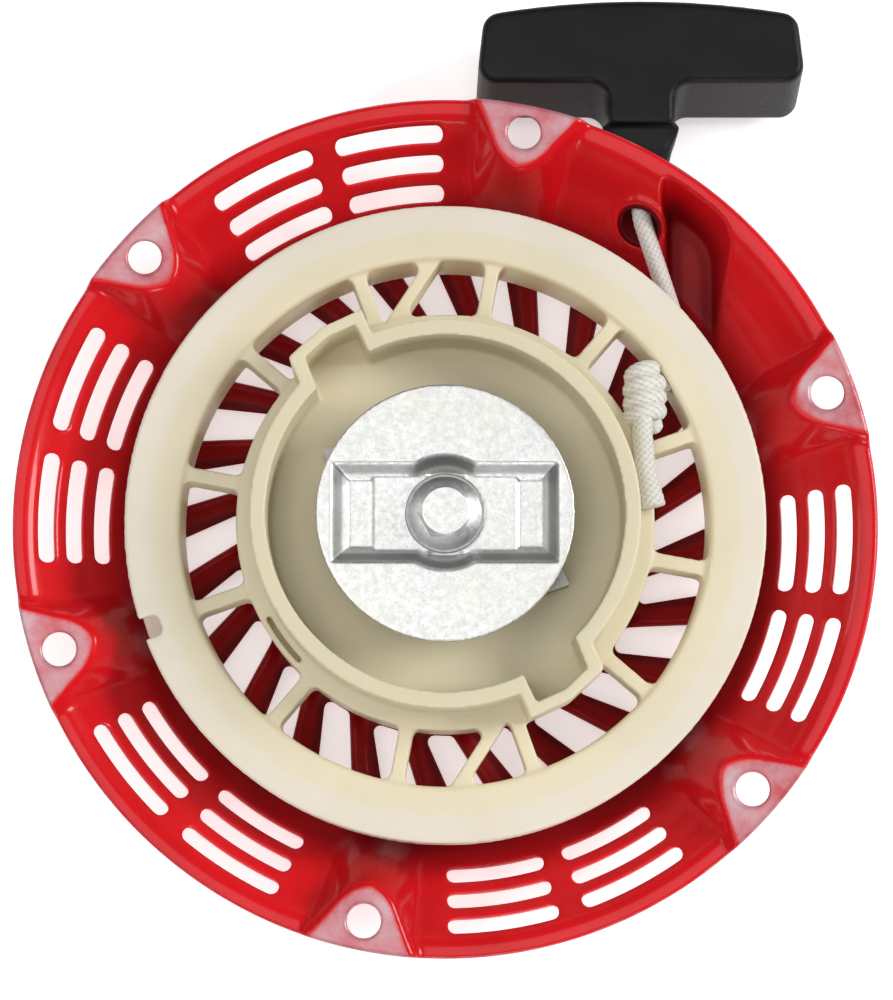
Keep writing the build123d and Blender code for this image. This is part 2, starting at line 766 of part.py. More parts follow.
with BuildPart() as handle_knot:
    with BuildSketch(Plane.XY.offset(rope_z)):
        with Locations((grip_x, knot_seat_y + seat_t + handle_knot_size[1] + 0.3)):
            Ellipse(*handle_knot_size)
            Rectangle(20, 40, align=(Align.MAX, Align.CENTER), mode=Mode.SUBTRACT)
    revolve(axis=Axis((grip_x, 0, rope_z), (0, 1, 0)))
save(handle_knot, "handle_knot")

with BuildPart() as handle_cap:
    with BuildSketch(Plane(origin=(grip_x, bar_top_y + bar_crown - 0.4, rope_z), z_dir=(0, -1, 0))):
        Circle(knot_bore_r - 0.1)
    extrude(amount=cap_t)
save(handle_cap, "handle_cap")
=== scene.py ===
import json
from math import atan2, ceil, cos, degrees, hypot, pi, radians, sin, tan

import bpy
import numpy as np
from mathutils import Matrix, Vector
from mathutils.geometry import delaunay_2d_cdt

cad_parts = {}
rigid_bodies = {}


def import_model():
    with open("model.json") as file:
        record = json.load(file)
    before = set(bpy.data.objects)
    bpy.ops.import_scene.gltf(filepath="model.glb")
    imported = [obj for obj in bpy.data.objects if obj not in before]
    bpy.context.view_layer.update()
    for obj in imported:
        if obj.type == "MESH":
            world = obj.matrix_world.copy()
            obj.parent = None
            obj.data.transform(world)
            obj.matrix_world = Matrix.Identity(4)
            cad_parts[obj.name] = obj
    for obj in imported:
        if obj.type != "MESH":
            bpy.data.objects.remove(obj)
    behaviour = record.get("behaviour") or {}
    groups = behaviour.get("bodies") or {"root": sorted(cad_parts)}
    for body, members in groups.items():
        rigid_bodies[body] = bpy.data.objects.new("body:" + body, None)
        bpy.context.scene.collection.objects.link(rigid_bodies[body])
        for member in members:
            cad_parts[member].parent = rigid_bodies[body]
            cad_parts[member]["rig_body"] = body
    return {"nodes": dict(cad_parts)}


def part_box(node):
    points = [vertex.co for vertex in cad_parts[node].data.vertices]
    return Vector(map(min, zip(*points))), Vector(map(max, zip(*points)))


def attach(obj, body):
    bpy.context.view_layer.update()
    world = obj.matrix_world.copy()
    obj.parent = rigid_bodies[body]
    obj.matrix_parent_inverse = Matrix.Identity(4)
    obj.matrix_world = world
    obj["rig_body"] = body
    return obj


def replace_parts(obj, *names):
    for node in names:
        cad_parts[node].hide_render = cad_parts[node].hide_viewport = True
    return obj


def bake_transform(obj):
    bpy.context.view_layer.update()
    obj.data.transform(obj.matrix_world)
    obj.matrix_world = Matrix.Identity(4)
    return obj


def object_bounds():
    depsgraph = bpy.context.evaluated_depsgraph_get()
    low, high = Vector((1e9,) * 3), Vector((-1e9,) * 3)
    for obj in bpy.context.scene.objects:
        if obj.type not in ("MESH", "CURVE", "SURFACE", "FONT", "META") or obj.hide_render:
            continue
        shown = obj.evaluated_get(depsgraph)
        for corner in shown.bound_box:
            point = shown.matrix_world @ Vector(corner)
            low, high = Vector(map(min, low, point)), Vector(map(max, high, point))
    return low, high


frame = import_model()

# Looks for the recoil starter. Shapes are worked out in millimetres, in the frame's own axes, and
# every mesh is scaled to metres as it is made. The engine side faces +Z.
MM = 0.001
cad_low, cad_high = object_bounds()

# ---------------------------------------------------------------- sizes, from the CAD part
SHEET = 1.2
CASE_R = 90.0
LIP_R = 86.8
LIP_Z = -2.2
PLATE_Z = -22.0
DIMPLE_Z = -22.4
SPRING_DISH_Z = -25.0
DISH_STATIONS = (0, 10.0, 12.5, 37.0, 40.5, CASE_R)
DISH_HEIGHTS = (DIMPLE_Z, DIMPLE_Z, SPRING_DISH_Z, SPRING_DISH_Z, PLATE_Z, PLATE_Z)
LAND_COUNT = 6
LAND_PITCH = 360 / LAND_COUNT
LAND_START = 18.6
LAND_TIP_R, LAND_TIP_HALF = 77.0, 2.4
LAND_FOOT_R, LAND_FOOT_HALF = 94.0, 12.8
LAND_EASE = 1.4
BOLT_CIRCLE_R = 84.0
BOLT_HOLE_R = 3.5
SLOT_ROWS = (83.4, 78.2, 72.9)
SLOT_WIDTH = 3.1
SLOT_OVERALL = 16.0
SLOT_SPAN = SLOT_OVERALL - degrees(SLOT_WIDTH / SLOT_ROWS[1])
SLOT_OFFSET = 9.7
SLOT_START = 108.0
SLOT_SECTORS = [SLOT_START + LAND_PITCH * k for k in range(LAND_COUNT - 1)]
LOUVRE_COUNT = 24
LOUVRE_PITCH = 360 / LOUVRE_COUNT
LOUVRE_GAP = 8.0
LOUVRE_R = (43.5, 63.5)
LOUVRE_MID_R = 50.6
LOUVRE_MID_ANGLE = 16.6
LOUVRE_TWIST = 0.5
LOUVRE_ROUND = 1.4
POCKET_X = (47.2, 58.6)
POCKET_OUTER_R = 85.3
POCKET_FLOOR_Z = -18.0
POCKET_END_Y = 20
OUTLET_R = 4.8
OUTLET = Vector((41.5, 64.85))
OUTLET_RADIAL = OUTLET.normalized()
CONE_SQUEEZE = 0.5 ** 0.5
CONE_STRETCH = 2 ** 0.5
ROPE_R = 2.0
ROPE_Z = -12.4
TURN_R = 60.0
TURN_Z = (-3.9, -8.1)
LEAD_ARC = 250.0
LEAD_END_Y = 70.2
LEAD_BEND_R = 12.0
BEND_POINT = (42.1, 66.0, ROPE_Z)
GRIP_X = 41.6
GRIP_KNOT_Y = 95.4
KNOT_PLACE = (41.6, 26.2, -1.2)
KNOT_HOLE_R, KNOT_HOLE_ANGLE, KNOT_HOLE_Z = 57.0, 32.5, -4.9
TAIL_BEND_R = 8.0
# The tail starts inside the knot, so it is longer than the part that shows.
TAIL_POINTS = [(41.2, 24.0, -0.4), (40.9, 17.8, 1.1), (41.3, 11.5, 2.2), (43.0, 2.5, 2.7)]
ROUTE_STEP = 0.28


# ---------------------------------------------------------------- small helpers
def polar(radius, angle):
    """A point from its radius and its angle in degrees."""
    return np.array((radius * cos(radians(angle)), radius * sin(radians(angle))))


def smooth_max(a, b, blend):
    """The larger of a and b, rounded where they are within blend of each other."""
    near = np.maximum(blend - np.abs(a - b), 0)
    return np.maximum(a, b) + near * near / (4 * blend)


def smooth_min(a, b, blend):
    """The smaller of a and b, rounded where they are within blend of each other."""
    return -smooth_max(-a, -b, blend)


def step_up(low, high, x):
    """0 below low, 1 above high, and a smooth rise between them."""
    t = np.clip((x - low) / (high - low), 0, 1)
    return t * t * (3 - 2 * t)


def bump(x, middle, width):
    """A smooth bump of height 1."""
    return np.exp(-((x - middle) / width) ** 2)


def piece(name, vertices, faces, body, material):
    """A mesh in millimetres, made into a named piece that rides on a CAD body."""
    mesh = bpy.data.meshes.new(name)
    mesh.from_pydata((np.asarray(vertices) * MM).tolist(), [], faces)
    mesh.validate()
    mesh.shade_smooth()
    return finished(bpy.data.objects.new(name, mesh), body, material)


def finished(made, body, material):
    """Link an object, give it its material and slot, and make it ride on its body."""
    bpy.context.scene.collection.objects.link(made)
    made.data.materials.clear()
    made.data.materials.append(material)
    if body:
        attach(made, body)
    return made


def store(made, name, values):
    """Keep a value for each point of a piece's mesh, for its material."""
    kept = made.data.attributes.new(name, "FLOAT", "POINT")
    kept.data.foreach_set("value", values.astype(np.float32))


def rounded(corners, radius, step, closed=False):
    """Points along a route of straight runs, with an arc at each corner."""
    corners = [Vector(tuple(c) + (0,) * (3 - len(c))) for c in corners]
    count = len(corners)
    longest_share = 0.48
    stations = []
    for i, corner in enumerate(corners):
        if not closed and i in (0, count - 1):
            stations.append(corner)
            continue
        back = corners[i - 1] - corner
        ahead = corners[(i + 1) % count] - corner
        half = back.angle(ahead) / 2
        run = min(radius / tan(half), longest_share * back.length, longest_share * ahead.length)
        centre = corner + (back.normalized() + ahead.normalized()).normalized() * (run / cos(half))
        first = corner + back.normalized() * run - centre
        last = corner + ahead.normalized() * run - centre
        pieces = max(3, ceil(first.angle(last) * first.length / step))
        reach, first, last = first.length, first.normalized(), last.normalized()
        stations += [centre + first.slerp(last, k / pieces) * reach for k in range(pieces + 1)]
    if closed:
        stations.append(stations[0])
    points = [stations[0]]
    for a, b in zip(stations, stations[1:]):
        pieces = max(1, ceil((b - a).length / step))
        points += [a.lerp(b, k / pieces) for k in range(1, pieces + 1)]
    return np.array(points[:-1] if closed else points)


# ---------------------------------------------------------------- materials
def shader(name, **constants):
    """A new node material with constants on its Principled shader."""
    material = bpy.data.materials.new(name)
    material.use_nodes = True
    principled = material.node_tree.nodes["Principled BSDF"]
    for socket, value in constants.items():
        principled.inputs[socket.replace("_", " ")].default_value = value
    return material


def node(material, kind, settings=None, **inputs):
    """Add a node. An input is named, or i and its number. A socket is linked, the rest are set."""
    made = material.node_tree.nodes.new(kind)
    for name, value in (settings or {}).items():
        setattr(made, name, value)
    for name, value in inputs.items():
        numbered = name[0] == "i" and name[1:].isdigit()
        socket = made.inputs[int(name[1:]) if numbered else name.replace("_", " ")]
        if isinstance(value, bpy.types.NodeSocket):
            material.node_tree.links.new(value, socket)
        else:
            socket.default_value = value
    return made


def place(material):
    """Object coordinates, which stay with the piece as it moves."""
    return node(material, "ShaderNodeTexCoord").outputs["Object"]


def noise(material, scale, detail, roughness=0.55, vector=None):
    """Noise, as a value from 0 to 1. Scale is in cycles per metre."""
    made = node(material, "ShaderNodeTexNoise", Vector=vector or place(material), Scale=scale,
                Detail=detail, Roughness=roughness)
    return made.outputs["Fac"]


def ramp(material, value, stops):
    """A colour ramp over (position, colour) stops."""
    made = node(material, "ShaderNodeValToRGB", Fac=value)
    elements = made.color_ramp.elements
    while len(elements) < len(stops):
        elements.new(0.5)
    for element, (position, colour) in zip(elements, stops):
        element.position = position
        element.color = (*colour, 1)
    return made.outputs["Color"]


def mix(material, factor, first, second):
    """Mix two colours, each a socket or an (r, g, b)."""
    colours = [v if isinstance(v, bpy.types.NodeSocket) else (*v, 1) for v in (first, second)]
    made = node(material, "ShaderNodeMix", {"data_type": "RGBA"},
                i0=factor, i6=colours[0], i7=colours[1])
    return made.outputs[2]


def span(material, value, low, high, to_low=0.0, to_high=1.0):
    """Map a value's range to another, held at the ends."""
    made = node(material, "ShaderNodeMapRange", {"clamp": True}, Value=value,
                From_Min=low, From_Max=high, To_Min=to_low, To_Max=to_high)
    return made.outputs["Result"]


def add_share(material, base, value, share):
    """A base value with a share of another added to it."""
    made = node(material, "ShaderNodeMath", {"operation": "MULTIPLY_ADD"},
                i0=value, i1=share, i2=base)
    return made.outputs[0]


def into(material, socket, value):
    """Link a value to the shader."""
    principled = material.node_tree.nodes["Principled BSDF"]
    material.node_tree.links.new(value, principled.inputs[socket])


def bumped(material, height, distance, strength):
    """Send a height to the shader's normal. Distance is in metres."""
    made = node(material, "ShaderNodeBump", Strength=strength, Distance=distance, Height=height)
    into(material, "Normal", made.outputs["Normal"])


def attribute(material, name):
    """A value stored on the mesh's points."""
    return node(material, "ShaderNodeAttribute", {"attribute_name": name}).outputs["Fac"]


def red_paint():
    """Glossy red enamel on steel: rubbed pink on the lands, a painted highlight on the rim's edge,
    and painted shade with duller gloss in the corners.
    """
    material = shader("red_paint", Coat_Roughness=0.08, IOR=1.45, Specular_IOR_Level=0.18)
    fresh = ramp(material, noise(material, 28, 5), [(0.3, (0.62, 0.005, 0.010)),
                                                    (0.7, (0.80, 0.009, 0.015))])
    # Painted shade: the stored shade mask, with a little random variation, darkens the red towards
    # a near-black red and dulls its gloss.
    darkening = add_share(material, attribute(material, "painted_shade"), noise(material, 90, 4), 0.3)
    shade_and_dull = span(material, darkening, 0.15, 1.15)
    shade_red = (0.12, 0.002, 0.004)
    paint = mix(material, shade_and_dull, fresh, shade_red)
    worn = ramp(material, noise(material, 110, 6, 0.6), [
        (0.34, (0.50, 0.15, 0.18)), (0.5, (0.58, 0.34, 0.38)), (0.68, (0.62, 0.52, 0.56))])
    # This mask holds real wear on the lands and a painted highlight along the rim's outer edge.
    wear_and_highlight = add_share(material, attribute(material, "wear_and_highlight"), noise(material, 130, 5, 0.65), 0.5)
    cover = span(material, wear_and_highlight, 0.75, 1.25)
    into(material, "Base Color", mix(material, cover, paint, worn))
    roughness = span(material, cover, 0, 1, 0.30, 0.42)
    into(material, "Roughness", add_share(material, roughness, shade_and_dull, 0.25))
    into(material, "Metallic", span(material, cover, 0, 1, 0.0, 0.35))
    into(material, "Coat Weight", span(material, shade_and_dull, 0, 0.8, 0.36, 0.0))
    bumped(material, noise(material, 900, 3), 0.00006, 0.5)
    return material


def nylon():
    """Natural nylon: cream, a little translucent, whiter on the outer rim."""
    material = shader("nylon", Subsurface_Weight=0.18, Subsurface_Scale=0.004,
                      Subsurface_Radius=(1.0, 0.75, 0.5), IOR=1.53, Coat_Weight=0.08)
    flat = node(material, "ShaderNodeVectorMath", {"operation": "MULTIPLY"},
                i0=place(material), i1=(1, 1, 0))
    radius = node(material, "ShaderNodeVectorMath", {"operation": "LENGTH"}, i0=flat.outputs[0])
    rim_r = 0.0667
    outwards = span(material, radius.outputs["Value"], 0.0, rim_r)
    tone = ramp(material, outwards, [
        (0.15, (0.60, 0.54, 0.38)), (0.56, (0.76, 0.68, 0.47)), (0.80, (0.84, 0.74, 0.52)),
        (0.90, (0.86, 0.76, 0.56)), (0.93, (0.87, 0.78, 0.66))])
    cloud = span(material, noise(material, 60, 4), 0.35, 0.75, 0, 0.4)
    stain = (0.72, 0.66, 0.47)
    into(material, "Base Color", mix(material, cloud, tone, stain))
    into(material, "Roughness", span(material, noise(material, 500, 3), 0.3, 0.7, 0.42, 0.58))
    bumped(material, noise(material, 700, 4), 0.00005, 0.5)
    return material


def zinc():
    """Zinc plate: a fine spangle, faintly yellow, with painted shade on the recess walls."""
    material = shader("zinc", Metallic=0.9)
    spangle = node(material, "ShaderNodeTexVoronoi", Vector=place(material), Scale=2400.0)
    speckle = span(material, spangle.outputs["Color"], 0, 1)
    grey = ramp(material, speckle, [(0.0, (0.66, 0.67, 0.66)), (0.5, (0.77, 0.78, 0.76)),
                                    (1.0, (0.85, 0.85, 0.83))])
    patches = span(material, noise(material, 75, 4), 0.45, 0.7, 0, 0.5)
    yellowed = (0.77, 0.76, 0.67)
    plated = mix(material, patches, grey, yellowed)
    height = node(material, "ShaderNodeSeparateXYZ", Vector=place(material)).outputs["Z"]
    # Painted shade: the plate is darkened on the recess walls, between the pad level and the disc
    # level, and not on either flat.
    pad_z, disc_z = 0.0103, 0.0132
    up_the_wall = span(material, height, pad_z, disc_z)
    from_ends = node(material, "ShaderNodeMath", {"operation": "PINGPONG"}, i0=up_the_wall, i1=0.5)
    wall_shade = span(material, from_ends.outputs[0], 0.04, 0.3, 0, 0.7)
    shade_grey = (0.22, 0.22, 0.23)
    into(material, "Base Color", mix(material, wall_shade, plated, shade_grey))
    into(material, "Roughness", span(material, noise(material, 800, 4), 0.3, 0.7, 0.34, 0.52))
    bumped(material, noise(material, 1100, 4), 0.00005, 0.6)
    return material


def steel(name, dark, light, rough):
    """Plain steel with drawn or ground marks."""
    material = shader(name, Metallic=0.95)
    marks = node(material, "ShaderNodeMapping", Vector=place(material), Scale=(1, 1, 9))
    grain = noise(material, 320, 5, 0.6, marks.outputs[0])
    into(material, "Base Color", ramp(material, grain, [(0.3, dark), (0.7, light)]))
    into(material, "Roughness", span(material, grain, 0.3, 0.7, rough, rough + 0.16))
    bumped(material, grain, 0.00003, 0.5)
    return material


def rope_fibre():
    """White braided cord: fine fibres along each strand, darker between them."""
    material = shader("rope", Roughness=0.85, Sheen_Weight=0.25)
    fibre = noise(material, 2600, 3, 0.6)
    clean = ramp(material, fibre, [(0.3, (0.74, 0.72, 0.66)), (0.65, (0.90, 0.89, 0.84))])
    between = span(material, attribute(material, "strand"), 0.15, 0.7, 0.75, 0)
    darkening = (0.42, 0.39, 0.33)
    into(material, "Base Color", mix(material, between, clean, darkening))
    bumped(material, fibre, 0.00012, 0.8)
    return material


def black_plastic():
    """Moulded black plastic with a fine leathery grain."""
    material = shader("black_plastic", IOR=1.46, Specular_IOR_Level=0.22)
    cells = noise(material, 1500, 4, 0.6)
    shades = [(0.3, (0.006, 0.006, 0.007)), (0.7, (0.011, 0.011, 0.012))]
    into(material, "Base Color", ramp(material, noise(material, 90, 4), shades))
    into(material, "Roughness", span(material, cells, 0.3, 0.7, 0.36, 0.5))
    bumped(material, cells, 0.00004, 0.6)
    return material


RED = red_paint()
NYLON = nylon()
ZINC = zinc()
SPRING_STEEL = steel("spring_steel", (0.20, 0.21, 0.23), (0.42, 0.43, 0.45), 0.28)
PAWL_STEEL = steel("pawl_steel", (0.24, 0.22, 0.20), (0.50, 0.48, 0.45), 0.34)
ROPE = rope_fibre()
BLACK = black_plastic()


# ---------------------------------------------------------------- case: one pressed sheet
def dish_height(r):
    """The dish's engine side at a distance from the axis: dimple, spring dish, plate, cone, lip."""
    ease, foot_round, lip_round = 1.3, 2.6, 1.8
    window = np.linspace(-ease, ease, 7)
    plate = sum(np.interp(r + shift, DISH_STATIONS, DISH_HEIGHTS) for shift in window) / len(window)
    rise = smooth_max(plate, LIP_Z + r - LIP_R, foot_round)
    return smooth_min(rise, LIP_Z, lip_round)


def land_distance(x, y):
    """Distance outside the nearest land's outline, a V with a round point towards the axis."""
    pitch = 2 * pi / LAND_COUNT
    turn = (np.arctan2(y, x) - radians(LAND_START) + pitch / 2) % pitch - pitch / 2
    along = np.hypot(x, y) * np.cos(turn)
    across = np.hypot(x, y) * np.abs(np.sin(turn))
    side = Vector((LAND_FOOT_R - LAND_TIP_R, LAND_FOOT_HALF - LAND_TIP_HALF)).normalized()
    flank = (across - LAND_TIP_HALF) * side.x - (along - LAND_TIP_R) * side.y
    point_round = 5.0
    return smooth_max(flank, LAND_TIP_R - along, point_round) - LAND_EASE


def pocket_distance(x, y):
    """Distance outside the rope pocket's outline."""
    corner, outer_corner = 1.5, 4.0
    sides = smooth_max(POCKET_X[0] - x, x - POCKET_X[1], corner)
    closed = smooth_max(sides, np.hypot(x, y) - POCKET_OUTER_R, outer_corner)
    return smooth_max(closed, POCKET_END_Y - y, corner)


def louvre_phase(r, angle):
    """Where an angle lies in the louvre pitch: -1 and 1 at a bar's two edges, 0 on its middle."""
    turn = angle - LOUVRE_MID_ANGLE - LOUVRE_TWIST * (r - LOUVRE_MID_R)
    from_gap = turn % LOUVRE_PITCH
    return (from_gap - LOUVRE_PITCH / 2) / ((LOUVRE_PITCH - LOUVRE_GAP) / 2)


def louvre_lift(r, phase):
    """How far a louvre bar stands off the plate: a rib near one edge, the other turned down."""
    inner, outer = LOUVRE_R
    reach = step_up(inner - 0.5, inner + 2.5, r) * (1 - step_up(outer - 2.5, outer + 0.5, r))
    rib, rib_middle, rib_width, turned_down = 1.5, -0.35, 0.42, 0.5
    ridge = rib * bump(phase, rib_middle, rib_width) - turned_down * step_up(0.1, 1.0, phase)
    return reach * ridge * (np.abs(phase) < 1.4)


def outlet_distance(x, y):
    """Distance from the rope hole's axis, measured along the 45 degree cone."""
    radial = (x - OUTLET.x) * OUTLET_RADIAL.x + (y - OUTLET.y) * OUTLET_RADIAL.y
    across = (y - OUTLET.y) * OUTLET_RADIAL.x - (x - OUTLET.x) * OUTLET_RADIAL.y
    return np.hypot(radial * CONE_STRETCH, across)


def sheet_height(x, y):
    """The pressed sheet's engine side."""
    r = np.hypot(x, y)
    dish = dish_height(r)
    dish = dish + louvre_lift(r, louvre_phase(r, np.degrees(np.arctan2(y, x))))
    wall_slope, wall_inset, floor_round, edge_round = 5.0, 0.9, 3.0, 0.9
    walls = POCKET_FLOOR_Z + wall_slope * (pocket_distance(x, y) + wall_inset)
    dish = smooth_min(dish, smooth_max(POCKET_FLOOR_Z, walls, floor_round), edge_round)
    collar, collar_gap, collar_width = 1.1, 1.0, 0.75
    dish = dish + collar * bump(outlet_distance(x, y) - OUTLET_R, collar_gap, collar_width)
    land_slope, land_round, land_foot = 2.3, 1.5, 3.0
    land = smooth_min(0.0, -land_slope * land_distance(x, y), land_round)
    return smooth_max(dish, land, land_foot)


def slot_loop(radius, centre):
    """The outline of one arc slot of the air vents."""
    start, end = centre - SLOT_SPAN / 2, centre + SLOT_SPAN / 2
    half = SLOT_WIDTH / 2
    angles = np.linspace(start, end, 26)
    outer = [polar(radius + half, a) for a in angles]
    inner = [polar(radius - half, a) for a in angles[::-1]]
    round_end = np.linspace(22, 158, 7)
    caps = [[polar(radius, at) + polar(half, at + direction + turn) for turn in round_end]
            for at, direction in ((end, 0.0), (start, 180.0))]
    return np.array(outer + caps[0] + inner + caps[1])


def louvre_loop(k):
    """The outline of one slanted opening in the plate."""
    middle = LOUVRE_MID_ANGLE + k * LOUVRE_PITCH
    inner, outer = (middle + LOUVRE_TWIST * (r - LOUVRE_MID_R) for r in LOUVRE_R)
    half = LOUVRE_GAP / 2
    corners = [polar(LOUVRE_R[0], inner - half), polar(LOUVRE_R[1], outer - half),
               polar(LOUVRE_R[1], outer + half), polar(LOUVRE_R[0], inner + half)]
    return rounded(corners, LOUVRE_ROUND, 0.9, closed=True)[:, :2]


def circle_loop(centre, radius, count, squeeze=1.0, axis=(1.0, 0.0)):
    """A circle, or an ellipse that is squeezed along axis."""
    turns = np.linspace(0, 2 * pi, count, endpoint=False)
    along, across = np.array(axis), np.array((-axis[1], axis[0]))
    return np.array([np.array(centre) + radius * (squeeze * cos(t) * along + sin(t) * across)
                     for t in turns])


def cut_outs():
    """The outlines of every opening in the sheet."""
    loops = [slot_loop(radius, sector + side) for radius in SLOT_ROWS for sector in SLOT_SECTORS
             for side in (-SLOT_OFFSET, SLOT_OFFSET)]
    loops += [louvre_loop(k) for k in range(LOUVRE_COUNT)]
    loops += [circle_loop(polar(BOLT_CIRCLE_R, LAND_START + k * LAND_PITCH), BOLT_HOLE_R, 40)
              for k in range(LAND_COUNT)]
    loops.append(circle_loop(OUTLET, OUTLET_R, 48, CONE_SQUEEZE, tuple(OUTLET_RADIAL)))
    return loops


def grown(loop, distance):
    """A closed outline moved outwards."""
    ahead, back = np.roll(loop, -1, 0), np.roll(loop, 1, 0)
    along = ahead - back
    normal = np.stack((along[:, 1], -along[:, 0]), 1) / np.linalg.norm(along, axis=1)[:, None]
    area = (loop[:, 0] * ahead[:, 1] - loop[:, 1] * ahead[:, 0]).sum()
    return loop + normal * distance * (1 if area > 0 else -1)


def near_loop(points, loop, reach):
    """Which points are near an outline, how far they are from it, and which are inside it."""
    low, high = loop.min(0) - reach, loop.max(0) + reach
    near = np.flatnonzero(np.all((points > low) & (points < high), axis=1))
    spots = points[near][:, None]
    a, b = loop[None], np.roll(loop, -1, 0)[None]
    run = b - a
    t = np.clip(((spots - a) * run).sum(2) / (run * run).sum(2), 0, 1)
    distance = np.linalg.norm(spots - a - t[..., None] * run, axis=2).min(1)
    crosses = (a[..., 1] > spots[..., 1]) != (b[..., 1] > spots[..., 1])
    slope = run[..., 0] / np.where(run[..., 1] == 0, 1e-9, run[..., 1])
    left = spots[..., 0] < a[..., 0] + (spots[..., 1] - a[..., 1]) * slope
    return near, distance, (crosses & left).sum(1) % 2 == 1


def ring_points(radius, spacing, shift):
    """Points round a circle."""
    count = ceil(2 * pi * radius / spacing)
    turns = 2 * pi * (np.arange(count) + shift) / count
    return radius * np.stack((np.cos(turns), np.sin(turns)), 1)


def sheet_points(loops):
    """Points over the sheet: rings, rows along the louvre bars, and a fine grid over the pocket."""
    groups = [np.zeros((1, 2))]
    # Bands of rings: inner and outer radius, the gap between rings, and the gap along a ring.
    bands = ((1.5, 9.0, 1.5, 1.8), (9.4, 14.0, 0.6, 1.2), (15.0, 35.5, 1.6, 2.0),
             (36.0, 43.2, 0.6, 1.2), (64.2, 88.6, 0.62, 0.85), (89.0, 89.8, 0.35, 0.85))
    for low, high, gap, spacing in bands:
        for i, radius in enumerate(np.arange(low, high, gap)):
            groups.append(ring_points(radius, spacing, 0.5 * (i % 2)))
    half_bar = (LOUVRE_PITCH - LOUVRE_GAP) / 2
    radii = np.arange(LOUVRE_R[0] + 0.3, LOUVRE_R[1], 1.0)
    for k in range(LOUVRE_COUNT):
        middle = LOUVRE_MID_ANGLE + (k + 0.5) * LOUVRE_PITCH
        for across in (-0.84, -0.66, -0.5, -0.35, -0.2, 0.0, 0.25, 0.5, 0.78):
            angles = middle + LOUVRE_TWIST * (radii - LOUVRE_MID_R) + across * half_bar
            rays = np.stack((np.cos(np.radians(angles)), np.sin(np.radians(angles))), 1)
            groups.append(radii[:, None] * rays)
    # The grid is shaken a little, so that its squares don't split at random.
    gx, gy = np.meshgrid(np.arange(44.0, 62.0, 0.5), np.arange(24.0, 84.0, 0.5))
    fine = np.stack((gx.ravel(), gy.ravel()), 1)
    fine_r = np.hypot(fine[:, 0], fine[:, 1])
    in_band = (fine_r > 65) & (fine_r < 88)
    off_grid, off_grid_rate = 0.07, 40
    groups.append(fine[in_band] + off_grid * np.sin(fine[in_band][:, ::-1] * off_grid_rate))
    points = np.concatenate(groups)
    keep = np.ones(len(points), bool)
    clear_edge, collar_gaps = 0.9, (0.28, 0.62)
    for loop in loops:
        near, distance, inside = near_loop(points, loop, 1.0)
        keep[near[inside | (distance < clear_edge)]] = False
    collars = [grown(loop, gap) for loop in loops for gap in collar_gaps]
    return np.concatenate([points[keep]] + collars)


def painted_shade(x, y):
    """Painted shade: darker by the reel, in the rope pocket, and on the louvre bars' edges."""
    r = np.hypot(x, y)
    by_reel = 0.7 * (1 - step_up(66.0, 77.0, r))
    pocket = pocket_distance(x, y)
    in_pocket = 0.8 * bump(pocket, -1.2, 1.8) + 0.55 * (1 - step_up(-3.5, -1.5, pocket))
    phase = louvre_phase(r, np.degrees(np.arctan2(y, x)))
    on_bar = (r > LOUVRE_R[0]) & (r < LOUVRE_R[1]) & (np.abs(phase) < 1.2)
    bar_edge_shade = np.minimum(0.05 + 1.3 * (phase + 0.15) ** 2, 0.95)
    return np.maximum(np.maximum(by_reel, in_pocket), on_bar * bar_edge_shade)


def pressed_case():
    """The whole case as one sheet of even thickness, with rounded edges at every opening."""
    loops = cut_outs()
    rim = circle_loop((0, 0), CASE_R, 720)
    points = [sheet_points(loops)]
    edges = []
    count = len(points[0])
    for loop in loops + [rim]:
        edges += [(count + i, count + (i + 1) % len(loop)) for i in range(len(loop))]
        points.append(loop)
        count += len(loop)
    flat = [Vector(p) for p in np.concatenate(points)]
    corners, _, triangles = delaunay_2d_cdt(flat, edges, [], 0, 1e-5)[:3]
    corners = np.array(corners)
    triangles = np.array(triangles)
    middles = corners[triangles].mean(1)
    keep = np.ones(len(triangles), bool)
    radius = np.hypot(corners[:, 0], corners[:, 1])
    edge_gap = CASE_R - radius
    for loop in loops:
        near, _, inside = near_loop(middles, loop, 0.0)
        keep[near[inside]] = False
        near, distance, _ = near_loop(corners, loop, 2.0)
        edge_gap[near] = np.minimum(edge_gap[near], distance)
    edge_round = 0.34
    z = sheet_height(corners[:, 0], corners[:, 1]) - edge_round * bump(edge_gap, 0.0, edge_round)
    shape = np.column_stack((corners, z))
    made = piece("case_sheet", shape, triangles[keep].tolist(), "case", RED)
    on_land = 1 - step_up(-1.6, 0.2, land_distance(corners[:, 0], corners[:, 1]))
    # Real wear on the lands; along the rim's outer edge the same rubbed pink is a painted
    # highlight.
    rim_highlight = step_up(89.0, 89.7, radius)
    store(made, "wear_and_highlight", np.maximum(0.85 * on_land, 0.6 * rim_highlight))
    # Painted shade, kept on the sheet's points for the red paint.
    store(made, "painted_shade", painted_shade(corners[:, 0], corners[:, 1]))
    skin = made.modifiers.new("sheet", "SOLIDIFY")
    skin.thickness = SHEET * MM
    skin.offset = -1
    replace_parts(made, "housing")


